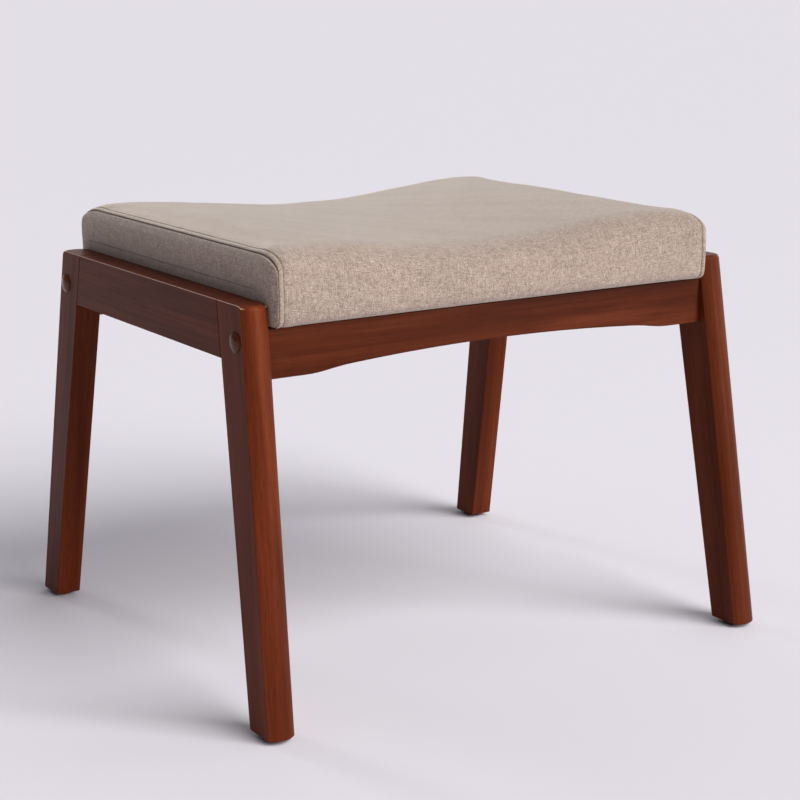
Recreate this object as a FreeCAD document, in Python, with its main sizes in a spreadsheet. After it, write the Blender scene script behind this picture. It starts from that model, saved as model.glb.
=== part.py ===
"""Four-legged ottoman of a glider set: splayed hardwood legs, end rails, arched aprons and a saddle-shaped
cushion on a plywood seat board.

Millimetres. The origin is on the floor under the middle of the seat, +X runs along the long side, +Y to the
rear and +Z up. The frame is the same in all four corners, so each corner piece is made once, at the rear
right, and mirrored to the others.
"""
import FreeCAD, Part
import math
import os
import re
import Sketcher

Vector = FreeCAD.Vector

doc = FreeCAD.newDocument("Ottoman")

sizes = {
    # Legs, which lean outwards along the long side and splay to the front and rear
    "leg_top": 400.0,
    "glide_height": 4.0,
    "frame_half_length": 288.65,
    "foot_spread": 12.95,
    "leg_thickness": 28.2,
    "leg_reach_top": 200.3,
    "leg_reach_foot": 263.0,
    "leg_depth_top": 45.4,
    "leg_depth_foot": 35.1,
    "leg_bow": 6.0,
    "leg_edge_round": 1.2,
    "leg_nose_round": 5.0,
    # End rails, flush with the legs on both faces
    "rail_depth": 53.6,
    "rail_edge_round": 0.9,
    # Aprons, with a shallow arch that ends in an ogee at each side
    "apron_top": 376.8,
    "apron_depth": 47.6,
    "apron_thickness": 20.0,
    "apron_centre": 192.0,
    "arch_rise": 11.3,
    "ogee_rise": 5.3,
    "ogee_outer": 222.0,
    "ogee_inner": 170.0,
    "apron_edge_round": 0.9,
    # Bolted joint of leg and apron, hidden by a button plug
    "bolt_height": 366.0,
    "plug_bore": 8.0,
    "plug_bore_depth": 12.0,
    "plug_shank": 7.9,
    "plug_shank_length": 4.0,
    "plug_cap": 10.0,
    "plug_rim": 0.7,
    "plug_dome": 3.4,
    "bolt_shank": 3.0,
    "bolt_hole": 3.3,
    "bolt_length": 36.0,
    "bolt_head": 5.0,
    "bolt_head_depth": 6.0,
    "bolt_socket": 2.5,
    "bolt_socket_depth": 3.5,
    "washer_radius": 7.4,
    "washer_thickness": 1.5,
    "insert_radius": 5.0,
    "insert_length": 20.0,
    "thread_gap": 0.05,
    "bolt_tip_room": 4.0,
    # Dowels
    "dowel_radius": 4.0,
    "dowel_gap": 0.1,
    "dowel_end_room": 1.0,
    "apron_dowel_drop": 22.0,
    "apron_dowel_in_leg": 14.0,
    "apron_dowel_in_apron": 24.0,
    "rail_dowel_half": 18.0,
    "rail_dowel_edge": 13.4,
    # Corner blocks and their screws
    "block_depth": 32.0,
    "block_arm": 70.0,
    "block_end": 16.0,
    "block_flat": 18.0,
    "screw_shank": 2.0,
    "screw_head": 4.2,
    "screw_head_depth": 2.2,
    "screw_gap": 0.1,
    "block_screw_length": 30.0,
    "seat_screw_length": 43.0,
    "seat_screw_inset": 24.0,
    # Glides under the legs
    "glide_radius": 11.0,
    "glide_round": 1.5,
    "glide_shift": 1.5,
    "glide_recess": 4.0,
    "glide_recess_depth": 1.6,
    "nail_shank": 1.25,
    "nail_head": 3.4,
    "nail_head_depth": 1.0,
    "nail_length": 20.0,
    # Cushion, measured on the outside of its cover
    "seat_gap": 0.2,
    "dust_cover_thickness": 0.6,
    "cover_thickness": 1.2,
    "cover_slack": 0.3,
    "seam_half_length": 257.0,
    "cushion_half_depth": 214.7,
    "side_draw": 2.5,
    "side_bow": 0.8,
    "seam_height": 65.5,
    "shoulder_height": 71.0,
    "saddle_height": 56.8,
    "saddle_flat": 20.0,
    "saddle_end": 205.0,
    "shoulder_roll": 60.0,
    "top_crown": 2.0,
    "top_corner": 26.0,
    "low_corner": 8.0,
    # End panels, which bulge past their seams
    "end_step": 3.2,
    "end_step_low": 20.5,
    "end_step_top": 5.0,
    "end_step_in": 12.0,
    "end_step_low_round": 14.4,
    "end_step_top_round": 18.0,
    "end_bulge": 6.3,
    "end_face_low": 28.5,
    "end_face_top": 13.0,
    "end_face_in": 27.0,
    "end_face_round": 9.6,
    # Seat board, hems and staples
    "board_thickness": 12.0,
    "hem_width": 49.0,
    "hem_gap": 0.3,
    "dust_cover_margin": 7.0,
    "staple_crown": 12.0,
    "staple_width": 1.2,
    "staple_thickness": 0.6,
    "staple_leg": 8.5,
    "staple_gap": 0.1,
    "staple_side_step": 40.0,
    "staple_end_step": 45.0,
    "staple_inset": 4.5,
}

sheet = doc.addObject("Spreadsheet::Sheet", "Sizes")
for row, (alias, number) in enumerate(sizes.items(), start=1):
    sheet.set("A%d" % row, str(number))
    sheet.setAlias("A%d" % row, alias)
doc.recompute()

nodes = []
alias_words = re.compile(r"\b(" + "|".join(sizes) + r")\b")


def cells(text):
    """An expression with each size's name turned into its cell of the sheet."""
    return alias_words.sub(r"Sizes.\1", str(text))


def value(text):
    """The number that an expression of sizes has now."""
    result = sheet.evalExpression(cells(text))
    return float(getattr(result, "Value", result))


def bind(thing, prop, text):
    thing.setExpression(prop, cells(text))


def place(thing, spot, axis=(0, 0, 1), angle=None):
    """Puts a piece at a spot given by three expressions, turned by an expression in degrees."""
    if angle is not None:
        turn = FreeCAD.Rotation(Vector(*axis), value(angle))
        thing.Placement = FreeCAD.Placement(Vector(), turn)
        bind(thing, "Placement.Rotation.Angle", angle)
    for letter, text in zip("xyz", spot):
        bind(thing, "Placement.Base." + letter, text)
    return thing


def cylinder(name, radius, length, spot, axis=(0, 0, 1), angle=None):
    rod = doc.addObject("Part::Cylinder", name)
    bind(rod, "Radius", radius)
    bind(rod, "Height", length)
    return place(rod, spot, axis, angle)


def box(name, low, high):
    """A box between two corners, each given by three expressions."""
    block = doc.addObject("Part::Box", name)
    for prop, start, end in zip(("Length", "Width", "Height"), low, high):
        bind(block, prop, "(%s) - (%s)" % (end, start))
    return place(block, low)


def joined(name, pieces):
    """Several objects as one compound, each still a solid of its own."""
    bundle = doc.addObject("Part::Compound", name)
    bundle.Links = pieces
    return bundle


def fused(name, pieces):
    whole = doc.addObject("Part::MultiFuse", name)
    whole.Shapes = pieces
    whole.Refine = True
    return whole


def cut(name, base, tools):
    part = doc.addObject("Part::Cut", name)
    part.Base = base
    part.Tool = tools[0] if len(tools) == 1 else joined(name + "_tools", tools)
    return part


def common(name, first, second):
    part = doc.addObject("Part::Common", name)
    part.Base = first
    part.Tool = second
    return part


def mirrored(name, piece, normal):
    copy = doc.addObject("Part::Mirroring", name)
    copy.Source = piece
    copy.Normal = Vector(*normal)
    return copy


def across(piece):
    """The same piece at the other end of the stool."""
    return mirrored(piece.Name + "_across", piece, (1, 0, 0))


def fore(piece):
    """The same piece at the front of the stool."""
    return mirrored(piece.Name + "_fore", piece, (0, 1, 0))


def corners(piece):
    """A rear right piece and its three copies: rear left, front right, front left."""
    left = across(piece)
    return [piece, left, fore(piece), fore(left)]


def node(label, piece):
    """Names a finished sub-part, whose label also names its file."""
    piece.Label = label
    nodes.append(piece)
    return piece


def corner_nodes(piece, what):
    for place_name, copy in zip(("rear_right", "rear_left", "front_right", "front_left"), corners(piece)):
        node(place_name + "_" + what, copy)


def body(name):
    return doc.addObject("PartDesign::Body", name)


def sketch(owner, name, role, lift, points):
    """A closed outline on one of the body's own planes, lifted off it by an expression.

    Each point is (across, up) or, where an arc leads on to the next point, (across, up, through), with the
    middle point that the arc passes through.
    """
    outline = owner.newObject("Sketcher::SketchObject", name)
    plane = [item for item in owner.Origin.OriginFeatures if item.Role == role][0]
    outline.AttachmentSupport = (plane, [""])
    outline.MapMode = "FlatFace"
    bind(outline, "AttachmentOffset.Base.z", lift)

    def fix(geometry, end, point):
        for kind, text in zip(("DistanceX", "DistanceY"), point):
            rule = Sketcher.Constraint(kind, -1, 1, geometry, end, value(text))
            index = outline.addConstraint(rule)
            bind(outline, "Constraints[%d]" % index, text)

    def spot(point):
        return Vector(value(point[0]), value(point[1]), 0)

    for point, following in zip(points, points[1:] + points[:1]):
        start = spot(point)
        end = spot(following)
        if len(point) == 2:
            line = outline.addGeometry(Part.LineSegment(start, end))
            fix(line, 1, point)
            fix(line, 2, following)
            continue
        through = spot(point[2])
        forward = (through - start).cross(end - through).z > 0
        ends = (point, following) if forward else (following, point)
        arc = outline.addGeometry(Part.Arc(spot(ends[0]), through, spot(ends[1])))
        fix(arc, 1, ends[0])
        fix(arc, 2, ends[1])
        middle = outline.addGeometry(Part.Point(through), True)
        fix(middle, 1, point[2])
        outline.addConstraint(Sketcher.Constraint("PointOnObject", middle, 1, arc))
    return outline


def loft(owner, name, low, high):
    """A straight-sided solid between two level outlines."""
    solid = owner.newObject("PartDesign::AdditiveLoft", name)
    solid.Profile = high
    solid.Sections = [low]
    solid.Ruled = True
    doc.recompute()
    return solid


def rounded(owner, name, feature, radius, wanted):
    """Rounds the edges of a feature that the test picks."""
    names = []
    for number, edge in enumerate(feature.Shape.Edges, start=1):
        if wanted(edge):
            names.append("Edge%d" % number)
    fillet = owner.newObject("PartDesign::Fillet", name)
    fillet.Base = (feature, names)
    bind(fillet, "Radius", radius)
    doc.recompute()
    return fillet


def turned(name, profile):
    """A round piece: its half outline, turned about the Z axis."""
    owner = body(name)
    outline = sketch(owner, name + "_outline", "XZ_Plane", "0", profile)
    whole = owner.newObject("PartDesign::Revolution", name + "_turned")
    whole.Profile = outline
    whole.ReferenceAxis = (outline, ["V_Axis"])
    whole.Angle = 360
    return owner


def headed(name, head, head_depth, shank, length, spot, axis, angle):
    """A screw or nail whose head sits on the spot and whose shank runs on along its turned Z axis."""
    top = cylinder(name + "_head", head, head_depth, ("0", "0", "-" + head_depth))
    stem = cylinder(name + "_shank", shank, length, ("0", "0", "0"))
    return place(fused(name, [top, stem]), spot, axis, angle)


# Planes of the leaning frame, as expressions at a height
def down(height):
    """Share of the leg's length that lies above a height."""
    return "((leg_top - (%s)) / (leg_top - glide_height))" % height


def outer_x(height):
    return "(frame_half_length + foot_spread * %s)" % down(height)


def inner_x(height):
    return "(%s - leg_thickness)" % outer_x(height)


def leg_outer_y(height):
    return "(leg_reach_top + (leg_reach_foot - leg_reach_top) * %s)" % down(height)


def leg_inner_y(height):
    top = "(leg_reach_top - leg_depth_top)"
    return "(%s + (leg_reach_foot - leg_depth_foot - %s) * %s)" % (top, top, down(height))


LEAN = "atan(foot_spread / (leg_top - glide_height))"
APRON_INNER = "(apron_centre - apron_thickness / 2)"
APRON_LOW = "(apron_top - apron_depth)"
RAIL_LOW = "(leg_top - rail_depth)"
BLOCK_LOW = "(apron_top - block_depth)"
CUSHION_LOW = "(apron_top + 2 * seat_gap + dust_cover_thickness)"
BOARD_LOW = "(%s + cover_thickness + cover_slack)" % CUSHION_LOW
BOARD_TOP = "(%s + board_thickness)" % BOARD_LOW


def bolt_spot(depth, drop="0"):
    """A point at a depth under the leg's outer face, square to it, and a drop down along the face."""
    return (
        "%s - (%s) * cos(%s) + (%s) * sin(%s)" % (outer_x("bolt_height"), depth, LEAN, drop, LEAN),
        "apron_centre",
        "bolt_height - (%s) * sin(%s) - (%s) * cos(%s)" % (depth, LEAN, drop, LEAN),
    )


TURN = (0, 1, 0)
INWARDS = "-(90 deg + %s)" % LEAN
OUTWARDS = "90 deg - %s" % LEAN
POKE = "2"

# Bores of one corner, shared by the pieces that each of them passes through
plug_bore = cylinder("plug_bore_tool", "plug_bore", "plug_bore_depth + " + POKE,
                     bolt_spot("-" + POKE), TURN, INWARDS)
bolt_hole = cylinder("bolt_hole_tool", "bolt_hole",
                     "washer_thickness + bolt_length + bolt_tip_room",
                     bolt_spot("plug_bore_depth - washer_thickness"), TURN, INWARDS)
insert_hole = cylinder("insert_hole_tool", "insert_radius + thread_gap", "insert_length + " + POKE,
                       bolt_spot("leg_thickness - " + POKE), TURN, INWARDS)
apron_dowel_hole = cylinder(
    "apron_dowel_hole_tool", "dowel_radius + dowel_gap",
    "apron_dowel_in_leg + apron_dowel_in_apron + 2 * dowel_end_room",
    bolt_spot("leg_thickness - apron_dowel_in_leg - dowel_end_room", "apron_dowel_drop"), TURN, INWARDS)

# Two dowel holes in the joint of leg and end rail, along Y
ALONG_Y = ((1, 0, 0), "-90")
rail_dowel_heights = ("leg_top - rail_dowel_edge", "leg_top - rail_depth + rail_dowel_edge")
rail_dowel_holes = []
rail_dowels = []
for number, height in enumerate(rail_dowel_heights, start=1):
    middle = "%s - leg_thickness / 2" % outer_x(height)
    hole_start = "%s - rail_dowel_half - dowel_end_room" % leg_inner_y(height)
    dowel_start = "%s - rail_dowel_half" % leg_inner_y(height)
    rail_dowel_holes.append(cylinder(
        "rail_dowel_hole_tool_%d" % number, "dowel_radius + dowel_gap",
        "2 * (rail_dowel_half + dowel_end_room)", (middle, hole_start, height), *ALONG_Y))
    rail_dowels.append(cylinder(
        "rail_dowel_%d" % number, "dowel_radius", "2 * rail_dowel_half",
        (middle, dowel_start, height), *ALONG_Y))

# Glide and nail centre, in the middle of the leg's foot
FOOT_X = "%s - leg_thickness / 2" % outer_x("glide_height")
FOOT_Y = "leg_reach_foot - leg_depth_foot / 2 + glide_shift"
nail_hole = cylinder("nail_hole_tool", "nail_shank + screw_gap", "nail_length + dowel_end_room",
                     (FOOT_X, FOOT_Y, "glide_recess_depth"))


# Leg: a board with a bowed outer edge, tapering downwards
def leg_section(height):
    out = outer_x(height)
    back = inner_x(height)
    edge = leg_outer_y(height)
    near = leg_inner_y(height)
    crest = ("(%s + %s) / 2" % (out, back), "%s + leg_bow" % edge)
    return [(back, near), (out, near), (out, edge, crest), (back, edge)]


leg_body = body("leg_blank")
leg_low = sketch(leg_body, "leg_foot", "XY_Plane", "glide_height", leg_section("glide_height"))
leg_high = sketch(leg_body, "leg_head", "XY_Plane", "leg_top", leg_section("leg_top"))
leg_loft = loft(leg_body, "leg_loft", leg_low, leg_high)


def nose(edge):
    """The bowed edge at the leg's top."""
    bounds = edge.BoundBox
    level = bounds.ZMin > value("leg_top") - 0.01
    return level and edge.Curve.TypeId != "Part::GeomLine"


def leg_arris(edge):
    """Every straight edge of the leg, and the bowed one at its foot."""
    return edge.Length > 2 * value("leg_nose_round")


leg_nose = rounded(leg_body, "leg_nose", leg_loft, "leg_nose_round", nose)
leg_round = rounded(leg_body, "leg_arrises", leg_nose, "leg_edge_round", leg_arris)
leg = cut("leg", leg_body, [plug_bore, bolt_hole, apron_dowel_hole, nail_hole] + rail_dowel_holes)
corner_nodes(leg, "leg")


# Corner block screws: one along Y into the apron, one along X into the end rail
BLOCK_MIDDLE = "(apron_top - block_depth / 2)"
BLOCK_X = inner_x(BLOCK_MIDDLE)
along_y_spot = ("%s - block_arm + block_flat / 2" % BLOCK_X, "%s - block_end" % APRON_INNER, BLOCK_MIDDLE)
along_x_spot = ("%s - block_end" % BLOCK_X, "%s - block_arm + block_flat / 2" % APRON_INNER, BLOCK_MIDDLE)
seat_spot = ("%s - seat_screw_inset" % BLOCK_X, "%s - seat_screw_inset" % APRON_INNER, BLOCK_LOW)
SCREW = ("screw_head", "screw_head_depth", "screw_shank")
screw_into_apron = headed("screw_into_apron", *SCREW, "block_screw_length", along_y_spot, *ALONG_Y)
screw_into_rail = headed("screw_into_rail", *SCREW, "block_screw_length", along_x_spot, TURN, "90")
seat_screw = headed("seat_screw", *SCREW, "seat_screw_length", seat_spot, TURN, "0")


def screw_hole(name, length, spot, axis, angle):
    return cylinder(name, "screw_shank + screw_gap", "%s + dowel_end_room" % length, spot, axis, angle)


hole_into_apron = screw_hole("hole_into_apron", "block_screw_length", along_y_spot, *ALONG_Y)
hole_into_rail = screw_hole("hole_into_rail", "block_screw_length", along_x_spot, TURN, "90")
seat_hole = screw_hole("seat_hole", "seat_screw_length", seat_spot, TURN, "0")


# End rail, between the legs of one end
def rail_section(height):
    end = leg_inner_y(height)
    out = outer_x(height)
    back = inner_x(height)
    return [(back, "-" + end), (out, "-" + end), (out, end), (back, end)]


rail_body = body("rail_blank")
rail_low = sketch(rail_body, "rail_under", "XY_Plane", RAIL_LOW, rail_section(RAIL_LOW))
rail_high = sketch(rail_body, "rail_over", "XY_Plane", "leg_top", rail_section("leg_top"))
rail_loft = loft(rail_body, "rail_loft", rail_low, rail_high)
rounded(rail_body, "rail_arrises", rail_loft, "rail_edge_round", lambda edge: True)
rail_holes = rail_dowel_holes + [hole_into_rail]
rail = cut("rail", rail_body, rail_holes + [fore(hole) for hole in rail_holes])
node("right_end_rail", rail)
node("left_end_rail", across(rail))

# Apron: its lower edge runs level, turns up through an ogee of two arcs and crosses in one long arc
OGEE_MIDDLE = "((ogee_outer + ogee_inner) / 2)"
OGEE_HALF = "((ogee_outer - ogee_inner) / 2)"
ARCH_RADIUS = "((ogee_inner * ogee_inner + (arch_rise - ogee_rise) * (arch_rise - ogee_rise)) / (2 * (arch_rise - ogee_rise)))"
ARCH_SLOPE = "(ogee_inner / %s)" % ARCH_RADIUS
OGEE_SLOPE = "(ogee_rise / %s - %s / 2)" % (OGEE_HALF, ARCH_SLOPE)
ogee_mid_rise = "(%s * %s / 2)" % (OGEE_HALF, OGEE_SLOPE)
low_arc_rise = "(%s * %s / 8)" % (OGEE_HALF, OGEE_SLOPE)
high_arc_rise = "(%s + %s * (3 * %s + %s) / 8)" % (ogee_mid_rise, OGEE_HALF, OGEE_SLOPE, ARCH_SLOPE)


def up(rise):
    return "%s + %s" % (APRON_LOW, rise)


def apron_lower_edge(sign):
    """Points of one half, from the ogee's outer end to its inner end, with the arcs' middle points."""
    outer_arc = "%s(%s + %s / 2)" % (sign, OGEE_MIDDLE, OGEE_HALF)
    inner_arc = "%s(%s - %s / 2)" % (sign, OGEE_MIDDLE, OGEE_HALF)
    ends = (sign + "ogee_outer", sign + OGEE_MIDDLE, sign + "ogee_inner")
    return ends, (outer_arc, up(low_arc_rise)), (inner_arc, up(high_arc_rise))


right_ends, right_outer_arc, right_inner_arc = apron_lower_edge("")
left_ends, left_outer_arc, left_inner_arc = apron_lower_edge("-")
apron_outline = [
    ("-" + inner_x("apron_top"), "apron_top"),
    ("-" + inner_x(APRON_LOW), APRON_LOW),
    (left_ends[0], APRON_LOW, left_outer_arc),
    (left_ends[1], up(ogee_mid_rise), left_inner_arc),
    (left_ends[2], up("ogee_rise"), ("0", up("arch_rise"))),
    (right_ends[2], up("ogee_rise"), right_inner_arc),
    (right_ends[1], up(ogee_mid_rise), right_outer_arc),
    (right_ends[0], APRON_LOW),
    (inner_x(APRON_LOW), APRON_LOW),
    (inner_x("apron_top"), "apron_top"),
]
apron_body = body("apron_blank")
apron_face = sketch(apron_body, "apron_face", "XZ_Plane", "-(apron_centre + apron_thickness / 2)",
                    apron_outline)
apron_pad = apron_body.newObject("PartDesign::Pad", "apron_pad")
apron_pad.Profile = apron_face
bind(apron_pad, "Length", "apron_thickness")
doc.recompute()


def apron_arris(edge):
    """The long edges of both faces."""
    return edge.BoundBox.YLength < 0.01 and edge.BoundBox.XLength > 5


rounded(apron_body, "apron_arrises", apron_pad, "apron_edge_round", apron_arris)
apron_holes = [bolt_hole, insert_hole, apron_dowel_hole, hole_into_apron]
apron = cut("apron", apron_body, apron_holes + [across(hole) for hole in apron_holes])
node("rear_apron", apron)
node("front_apron", fore(apron))


# Corner block: an L with its inner corner filled, glued and screwed into the corner
def block_section(height):
    x0 = inner_x(height)
    y0 = APRON_INNER
    thin = "block_end"
    arm = "block_arm"
    step = "block_arm - block_flat"
    return [
        (x0, y0),
        ("%s - %s" % (x0, arm), y0),
        ("%s - %s" % (x0, arm), "%s - %s" % (y0, thin)),
        ("%s - (%s)" % (x0, step), "%s - %s" % (y0, thin)),
        ("%s - %s" % (x0, thin), "%s - (%s)" % (y0, step)),
        ("%s - %s" % (x0, thin), "%s - %s" % (y0, arm)),
        (x0, "%s - %s" % (y0, arm)),
    ]


block_body = body("block_blank")
block_low = sketch(block_body, "block_under", "XY_Plane", BLOCK_LOW, block_section(BLOCK_LOW))
block_high = sketch(block_body, "block_over", "XY_Plane", "apron_top", block_section("apron_top"))
loft(block_body, "block_loft", block_low, block_high)
block = cut("block", block_body, [hole_into_apron, hole_into_rail, seat_hole])
corner_nodes(block, "corner_block")
node("corner_block_screws", joined("block_screws", corners(screw_into_apron) + corners(screw_into_rail)))
node("seat_screws", joined("seat_screw_set", corners(seat_screw)))

# Button plug: a shank in the bore and a cap on the leg's face, domed as part of a sphere
DOME_RISE = "(plug_dome - plug_rim)"
DOME_RADIUS = "((plug_cap * plug_cap + %s * %s) / (2 * %s))" % (DOME_RISE, DOME_RISE, DOME_RISE)
DOME_HALFWAY = "plug_dome - %s + sqrt(%s * %s - plug_cap * plug_cap / 4)" % (
    DOME_RADIUS, DOME_RADIUS, DOME_RADIUS)
plug = turned("plug", [
    ("0", "-plug_shank_length"),
    ("plug_shank", "-plug_shank_length"),
    ("plug_shank", "0"),
    ("plug_cap", "0"),
    ("plug_cap", "plug_rim", ("plug_cap / 2", DOME_HALFWAY)),
    ("0", "plug_dome"),
])
place(plug, bolt_spot("0"), TURN, OUTWARDS)
corner_nodes(plug, "plug")

# Bolt with a hexagon socket, its washer on the bore's floor, and the threaded insert in the apron's end
bolt_rod = headed("bolt_rod", "bolt_head", "bolt_head_depth", "bolt_shank", "bolt_length",
                  ("0", "0", "0"), TURN, "0")
socket = doc.addObject("Part::Prism", "bolt_socket_tool")
socket.Polygon = 6
bind(socket, "Circumradius", "bolt_socket / cos(30 deg)")
bind(socket, "Height", "bolt_socket_depth + " + POKE)
place(socket, ("0", "0", "-bolt_head_depth - " + POKE))
bolt = place(cut("bolt", bolt_rod, [socket]), bolt_spot("plug_bore_depth - washer_thickness"), TURN, INWARDS)
node("apron_bolts", joined("bolt_set", corners(bolt)))

washer_disc = cylinder("washer_disc", "washer_radius", "washer_thickness",
                       bolt_spot("plug_bore_depth - washer_thickness"), TURN, INWARDS)
washer = cut("washer", washer_disc, [bolt_hole])
node("bolt_washers", joined("washer_set", corners(washer)))

insert_rod = cylinder("insert_rod", "insert_radius", "insert_length", bolt_spot("leg_thickness"),
                      TURN, INWARDS)
thread = cylinder("thread_tool", "bolt_shank + thread_gap", "insert_length + 2 * " + POKE,
                  bolt_spot("leg_thickness - " + POKE), TURN, INWARDS)
node("threaded_inserts", joined("insert_set", corners(cut("insert", insert_rod, [thread]))))

# Dowels
apron_dowel = cylinder("apron_dowel", "dowel_radius", "apron_dowel_in_leg + apron_dowel_in_apron",
                       bolt_spot("leg_thickness - apron_dowel_in_leg", "apron_dowel_drop"), TURN, INWARDS)
node("apron_dowels", joined("apron_dowel_set", corners(apron_dowel)))
node("rail_dowels", joined("rail_dowel_set", corners(rail_dowels[0]) + corners(rail_dowels[1])))

# Glide: a round foot with a recess for the nail's head
glide = turned("glide", [
    ("glide_recess", "0"),
    ("glide_radius - glide_round", "0",
     ("glide_radius - glide_round * (1 - sin(45 deg))", "glide_round * (1 - cos(45 deg))")),
    ("glide_radius", "glide_round"),
    ("glide_radius", "glide_height"),
    ("nail_shank + screw_gap", "glide_height"),
    ("nail_shank + screw_gap", "glide_recess_depth"),
    ("glide_recess", "glide_recess_depth"),
])
place(glide, (FOOT_X, FOOT_Y, "0"))
corner_nodes(glide, "glide")
nail = headed("nail", "nail_head", "nail_head_depth", "nail_shank", "nail_length",
              (FOOT_X, FOOT_Y, "glide_recess_depth"), TURN, "0")
node("glide_nails", joined("nail_set", corners(nail)))

# Cushion. Its outline across the stool is a rounded rectangle whose top edge follows a saddle along X
SADDLE_STATIONS = (0.0, 0.22, 0.40, 0.56, 0.72, 0.87, 1.0)
ROLL_STATIONS = (0.66, 1.0)
ROUND_LIMIT = 0.45


def cushion_outline(along, low, top, half, low_round, top_round, bow, crown):
    """One closed outline across the cushion at a place along X: lines and arcs."""
    limit = ROUND_LIMIT * (top - low)
    low_round = min(low_round, limit)
    top_round = min(top_round, limit)
    bend = math.sqrt(0.5)
    side = [
        Vector(along, half - low_round, low),
        Vector(along, half - low_round * (1 - bend), low + low_round * (1 - bend)),
        Vector(along, half, low + low_round),
        Vector(along, half + bow, (low + low_round + top - top_round) / 2),
        Vector(along, half, top - top_round),
        Vector(along, half - top_round * (1 - bend), top - top_round * (1 - bend)),
        Vector(along, half - top_round, top),
    ]
    other = [Vector(point.x, -point.y, point.z) for point in reversed(side)]
    crest = Vector(along, 0, top + crown)
    edges = []
    for start in (0, 2, 4):
        edges.append(Part.Arc(side[start], side[start + 1], side[start + 2]).toShape())
    edges.append(Part.Arc(side[6], crest, other[0]).toShape())
    for start in (0, 2, 4):
        edges.append(Part.Arc(other[start], other[start + 1], other[start + 2]).toShape())
    edges.append(Part.LineSegment(other[6], side[0]).toShape())
    return Part.Wire(edges)


def saddle_top(along):
    """Height of the top's long edges above the cushion's underside."""
    flat = value("saddle_flat")
    share = min(max((abs(along) - flat) / (value("saddle_end") - flat), 0.0), 1.0)
    rise = share * share * (3 - 2 * share)
    top = value("saddle_height") + (value("shoulder_height") - value("saddle_height")) * rise
    roll_start = value("seam_half_length - shoulder_roll")
    roll = max((abs(along) - roll_start) / value("shoulder_roll"), 0.0)
    return top - (value("shoulder_height") - value("seam_height")) * roll * roll


def cushion_form(name, inset_text):
    """The cushion's outer form, taken in all round by an inset: its middle and its two end caps."""
    inset = value(inset_text)
    low = value(CUSHION_LOW)
    seam = value("seam_half_length")
    roll_start = seam - value("shoulder_roll")
    right = [share * roll_start for share in SADDLE_STATIONS]
    right += [roll_start + share * value("shoulder_roll") for share in ROLL_STATIONS]
    stations = [-along for along in reversed(right[1:])] + right
    wires = []
    for along in stations:
        half = value("cushion_half_depth") - value("side_draw") * (1 - (along / seam) ** 2)
        wires.append(cushion_outline(
            along, low + inset, low + saddle_top(along) - inset, half - inset,
            value("low_corner") - inset, value("top_corner") - inset, value("side_bow"),
            value("top_crown")))
    middle = doc.addObject("Part::Feature", name + "_middle")
    middle.Shape = Part.makeLoft(wires[::-1], True, False)

    top = low + value("seam_height")
    half = value("cushion_half_depth")
    steps = [
        (seam, low, top, half, value("low_corner"), value("top_corner"), value("top_crown")),
        (seam + value("end_step"), low + value("end_step_low"), top - value("end_step_top"),
         half - value("end_step_in"), value("end_step_low_round"), value("end_step_top_round"),
         value("top_crown")),
        (seam + value("end_bulge") - inset, low + value("end_face_low"), top - value("end_face_top"),
         half - value("end_face_in"), value("end_face_round"), value("end_face_round"),
         value("top_crown")),
    ]
    cap_wires = []
    for along, bottom, over, reach, low_round, top_round, crown in steps:
        cap_wires.append(cushion_outline(
            along, bottom + inset, over - inset, reach - inset, low_round - inset, top_round - inset,
            value("side_bow"), crown))
    cap = doc.addObject("Part::Feature", name + "_cap")
    cap.Shape = Part.makeLoft(cap_wires[::-1], True, False)
    return middle, cap, across(cap)


outer_middle, outer_right, outer_left = cushion_form("cover_form", "0")
lining = fused("lining_form", cushion_form("lining", "cover_thickness"))
filling = fused("filling_form", cushion_form("filling", "cover_thickness + cover_slack"))

# Places of the staples, which hold the dust cover and the hems to the seat board
HEM_Y = "(cushion_half_depth - hem_width)"
HEM_X = "(seam_half_length - hem_width)"
DUST_Y = "(%s - dust_cover_margin)" % APRON_INNER
DUST_X = "(seam_half_length - dust_cover_margin)"
DUST_LOW = "(apron_top + seat_gap)"
side_line = value("%s - staple_inset" % DUST_Y)
end_line = value("%s - staple_inset" % DUST_X)
side_room = value("%s - block_arm - staple_crown" % inner_x("apron_top"))
end_room = value("%s - block_arm - staple_crown" % APRON_INNER)
side_count = int(side_room // value("staple_side_step"))
end_count = int(end_room // value("staple_end_step"))
staple_spots = []
for index in range(-side_count, side_count + 1):
    for sign in (-1, 1):
        staple_spots.append((index * value("staple_side_step"), sign * side_line, 0))
for index in range(-end_count, end_count + 1):
    for sign in (-1, 1):
        staple_spots.append((sign * end_line, index * value("staple_end_step"), 90))


def staple(spread):
    """One staple along X, grown all round by a spread, with its crown under the dust cover."""
    crown = value("staple_crown")
    thick = value("staple_thickness")
    wide = value("staple_width") + 2 * spread
    low = value(DUST_LOW) - thick
    long = crown + 2 * spread
    height = value("staple_leg") + thick + 2 * spread
    whole = Part.makeBox(long, wide, thick + spread, Vector(-long / 2, -wide / 2, low - spread))
    for side in (-1, 1):
        start = side * (crown - thick) / 2 - thick / 2 - spread
        leg_of_it = Part.makeBox(thick + 2 * spread, wide, height, Vector(start, -wide / 2, low - spread))
        whole = whole.fuse(leg_of_it)
    return whole.removeSplitter()


def staple_set(name, spread):
    solids = []
    for along, over, angle in staple_spots:
        solid = staple(spread)
        solid.rotate(Vector(), Vector(0, 0, 1), angle)
        solid.translate(Vector(along, over, 0))
        solids.append(solid)
    everything = doc.addObject("Part::Feature", name)
    everything.Shape = Part.makeCompound(solids)
    return everything


node("staples", staple_set("staple_group", 0.0))
slots = staple_set("staple_slots", value("staple_gap"))
seat_holes = corners(seat_hole)
holes_up = seat_holes + [slots]

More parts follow.
